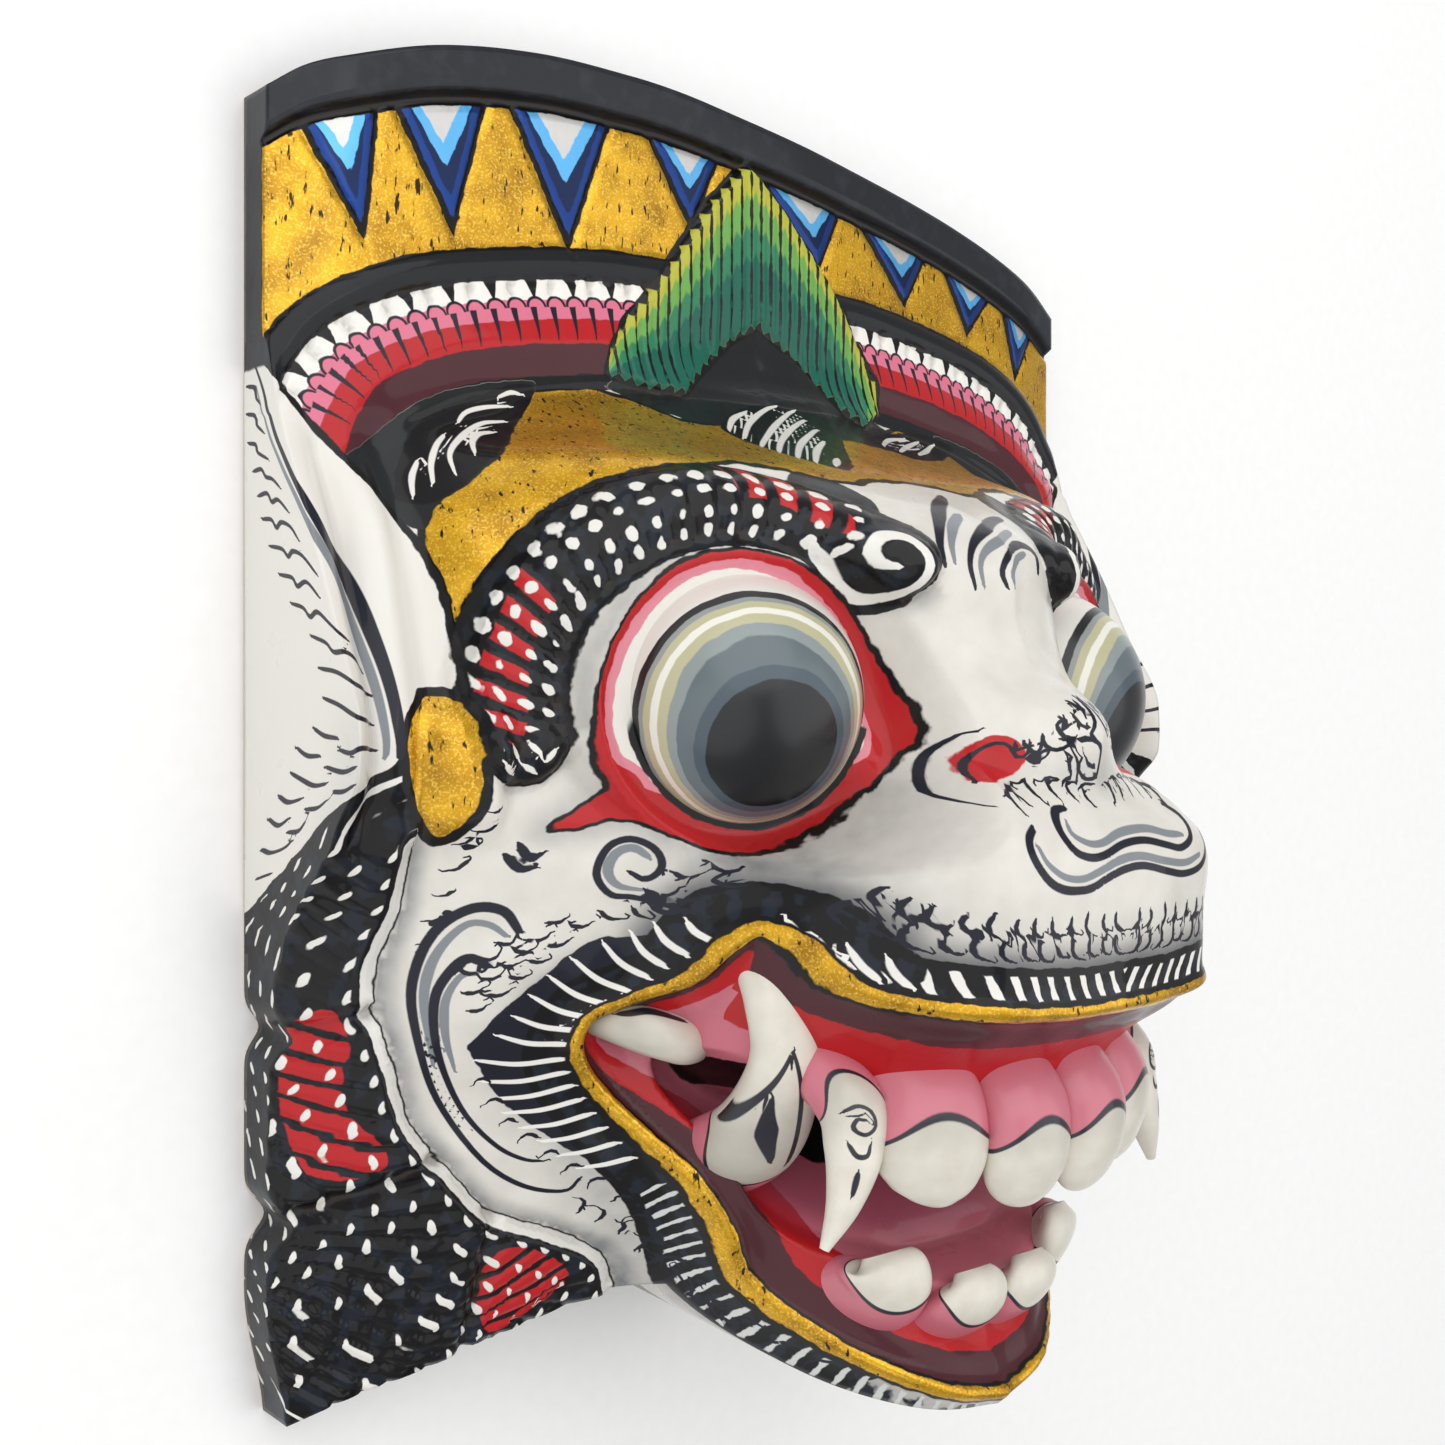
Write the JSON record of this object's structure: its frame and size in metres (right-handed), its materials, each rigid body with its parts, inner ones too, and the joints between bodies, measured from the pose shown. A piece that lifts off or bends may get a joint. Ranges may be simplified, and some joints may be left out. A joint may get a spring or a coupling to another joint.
{
  "type": "carved monkey wall mask",
  "caption": "Carved and painted wooden monkey mask with bulging eyes, open fanged mouth, tall crown and curled beard, hollow behind, to hang on a wall.",
  "frame": {"origin": "centre of the bounding box in X and Y, on the flat back rim", "axes": "+Z out of the face, +Y towards the crown, +X to the right of someone facing the mask; it lies on its back"},
  "size_m": [0.202, 0.24, 0.1075],
  "materials": {
    "painted_wood": "hand painted and varnished, satin"
  },
  "bodies": {
    "root": {"mask": "painted_wood"}
  },
  "joints": []
}
